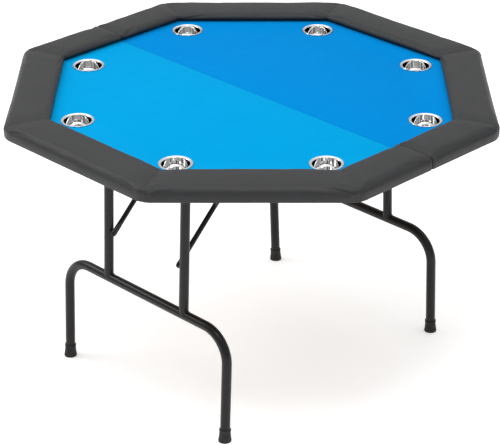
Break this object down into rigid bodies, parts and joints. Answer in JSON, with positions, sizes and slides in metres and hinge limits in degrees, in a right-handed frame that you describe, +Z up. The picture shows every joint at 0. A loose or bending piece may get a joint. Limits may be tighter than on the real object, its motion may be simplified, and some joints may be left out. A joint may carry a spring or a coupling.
{
  "type": "folding poker table",
  "caption": "Octagonal folding poker table with a blue felt playing surface, padded dark rail, drop-in steel cup holders and two black tubular leg frames that fold under the top.",
  "frame": {"origin": "on the floor under the middle of the top", "axes": "+Z up; X along the seam between the halves; the left leg frame stands at -Y and the right one at +Y"},
  "size_m": [1.21, 1.21, 0.754],
  "materials": {
    "felt": "blue short-pile polyester felt",
    "rail_cover": "dark grey soft-touch leatherette, fine grain, over foam",
    "board": "raw fibreboard, sealed below",
    "rail_wood": "raw fibreboard",
    "cup_steel": "polished stainless steel",
    "frame_paint": "black satin powder coat",
    "foot_rubber": "moulded black rubber",
    "plug_plastic": "moulded black plastic",
    "zinc": "bright zinc plate"
  },
  "bodies": {
    "top_left": {"board_left": "board", "felt_left": "felt", "rail_core_left": "rail_wood", "rail_pad_left": "rail_cover", "hinge_leaves_left": "zinc", "hinge_pins": "zinc", "seam_bolt_guides": "zinc", "pivot_brackets_left": "frame_paint", "strut_brackets_left": "frame_paint", "screws_left": "zinc"},
    "top_right": {"board_right": "board", "felt_right": "felt", "rail_core_right": "rail_wood", "rail_pad_right": "rail_cover", "hinge_leaves_right": "zinc", "seam_bolt_keepers": "zinc", "pivot_brackets_right": "frame_paint", "strut_brackets_right": "frame_paint", "screws_right": "zinc"},
    "leg_frame_left": {"pivot_tube_left": "frame_paint", "pivot_plugs_left": "plug_plastic", "upright_left_1": "frame_paint", "upright_left_2": "frame_paint", "leg_tube_left": "frame_paint", "foot_left_1": "foot_rubber", "foot_left_2": "foot_rubber", "strut_rivets_left": "frame_paint"},
    "lower_strut_left_1": {"lower_strut_left_1": "frame_paint"},
    "upper_strut_left_1": {"upper_strut_left_1": "frame_paint"},
    "lower_strut_left_2": {"lower_strut_left_2": "frame_paint"},
    "upper_strut_left_2": {"upper_strut_left_2": "frame_paint"},
    "leg_frame_right": {"pivot_tube_right": "frame_paint", "pivot_plugs_right": "plug_plastic", "upright_right_1": "frame_paint", "upright_right_2": "frame_paint", "leg_tube_right": "frame_paint", "foot_right_1": "foot_rubber", "foot_right_2": "foot_rubber", "strut_rivets_right": "frame_paint"},
    "lower_strut_right_1": {"lower_strut_right_1": "frame_paint"},
    "upper_strut_right_1": {"upper_strut_right_1": "frame_paint"},
    "lower_strut_right_2": {"lower_strut_right_2": "frame_paint"},
    "upper_strut_right_2": {"upper_strut_right_2": "frame_paint"},
    "cup_holder_1": {"cup_holder_1": "cup_steel"},
    "cup_holder_2": {"cup_holder_2": "cup_steel"},
    "cup_holder_3": {"cup_holder_3": "cup_steel"},
    "cup_holder_4": {"cup_holder_4": "cup_steel"},
    "cup_holder_5": {"cup_holder_5": "cup_steel"},
    "cup_holder_6": {"cup_holder_6": "cup_steel"},
    "cup_holder_7": {"cup_holder_7": "cup_steel"},
    "cup_holder_8": {"cup_holder_8": "cup_steel"},
    "seam_bolt_1": {"seam_bolt_1": "zinc"},
    "seam_bolt_2": {"seam_bolt_2": "zinc"}
  },
  "joints": [
    {"name": "half_fold", "type": "hinge", "parent": "top_left", "child": "top_right", "pos_m": [0, 0, 0.7125], "axis": [-1, 0, 0], "range_deg": [0, 45]},
    {"name": "leg_fold_left", "type": "hinge", "parent": "top_left", "child": "leg_frame_left", "pos_m": [0, -0.36, 0.701], "axis": [-1, 0, 0], "range_deg": [-92, 0]},
    {"name": "lower_strut_left_1_turn", "type": "hinge", "parent": "leg_frame_left", "child": "lower_strut_left_1", "pos_m": [-0.12025, -0.37187, 0.42125], "axis": [-1, 0, 0], "range_deg": [-44.5, 0.5]},
    {"name": "upper_strut_left_1_turn", "type": "hinge", "parent": "top_left", "child": "upper_strut_left_1", "pos_m": [-0.11025, -0.08, 0.701], "axis": [1, 0, 0], "range_deg": [-44.5, 0.5]},
    {"name": "lower_strut_left_2_turn", "type": "hinge", "parent": "leg_frame_left", "child": "lower_strut_left_2", "pos_m": [0.12025, -0.37187, 0.42125], "axis": [-1, 0, 0], "range_deg": [-44.5, 0.5]},
    {"name": "upper_strut_left_2_turn", "type": "hinge", "parent": "top_left", "child": "upper_strut_left_2", "pos_m": [0.11025, -0.08, 0.701], "axis": [1, 0, 0], "range_deg": [-44.5, 0.5]},
    {"name": "leg_fold_right", "type": "hinge", "parent": "top_right", "child": "leg_frame_right", "pos_m": [0, 0.36, 0.701], "axis": [1, 0, 0], "range_deg": [-87, 0]},
    {"name": "lower_strut_right_1_turn", "type": "hinge", "parent": "leg_frame_right", "child": "lower_strut_right_1", "pos_m": [-0.12025, 0.37187, 0.42125], "axis": [1, 0, 0], "range_deg": [-44.5, 0.5]},
    {"name": "upper_strut_right_1_turn", "type": "hinge", "parent": "top_right", "child": "upper_strut_right_1", "pos_m": [-0.11025, 0.08, 0.701], "axis": [-1, 0, 0], "range_deg": [-44.5, 0.5]},
    {"name": "lower_strut_right_2_turn", "type": "hinge", "parent": "leg_frame_right", "child": "lower_strut_right_2", "pos_m": [0.12025, 0.37187, 0.42125], "axis": [1, 0, 0], "range_deg": [-44.5, 0.5]},
    {"name": "upper_strut_right_2_turn", "type": "hinge", "parent": "top_right", "child": "upper_strut_right_2", "pos_m": [0.11025, 0.08, 0.701], "axis": [-1, 0, 0], "range_deg": [-44.5, 0.5]},
    {"name": "cup_lift_1", "type": "slide", "parent": "top_right", "child": "cup_holder_1", "axis": [0, 0, 1], "range_m": [0, 0.07]},
    {"name": "cup_lift_2", "type": "slide", "parent": "top_right", "child": "cup_holder_2", "axis": [0, 0, 1], "range_m": [0, 0.07]},
    {"name": "cup_lift_3", "type": "slide", "parent": "top_right", "child": "cup_holder_3", "axis": [0, 0, 1], "range_m": [0, 0.07]},
    {"name": "cup_lift_4", "type": "slide", "parent": "top_right", "child": "cup_holder_4", "axis": [0, 0, 1], "range_m": [0, 0.07]},
    {"name": "cup_lift_5", "type": "slide", "parent": "top_left", "child": "cup_holder_5", "axis": [0, 0, 1], "range_m": [0, 0.07]},
    {"name": "cup_lift_6", "type": "slide", "parent": "top_left", "child": "cup_holder_6", "axis": [0, 0, 1], "range_m": [0, 0.07]},
    {"name": "cup_lift_7", "type": "slide", "parent": "top_left", "child": "cup_holder_7", "axis": [0, 0, 1], "range_m": [0, 0.07]},
    {"name": "cup_lift_8", "type": "slide", "parent": "top_left", "child": "cup_holder_8", "axis": [0, 0, 1], "range_m": [0, 0.07]},
    {"name": "seam_bolt_1_slide", "type": "slide", "parent": "top_left", "child": "seam_bolt_1", "axis": [0, -1, 0], "range_m": [-0.022, 0]},
    {"name": "seam_bolt_2_slide", "type": "slide", "parent": "top_left", "child": "seam_bolt_2", "axis": [0, -1, 0], "range_m": [-0.022, 0]}
  ],
  "couplings": [
    {"joint": "lower_strut_left_1_turn", "follows": "leg_fold_left", "ratio": 0.47502},
    {"joint": "upper_strut_left_1_turn", "follows": "leg_fold_left", "ratio": 0.47502},
    {"joint": "lower_strut_left_2_turn", "follows": "leg_fold_left", "ratio": 0.47502},
    {"joint": "upper_strut_left_2_turn", "follows": "leg_fold_left", "ratio": 0.47502},
    {"joint": "lower_strut_right_1_turn", "follows": "leg_fold_right", "ratio": 0.49124},
    {"joint": "upper_strut_right_1_turn", "follows": "leg_fold_right", "ratio": 0.49124},
    {"joint": "lower_strut_right_2_turn", "follows": "leg_fold_right", "ratio": 0.49124},
    {"joint": "upper_strut_right_2_turn", "follows": "leg_fold_right", "ratio": 0.49124}
  ]
}
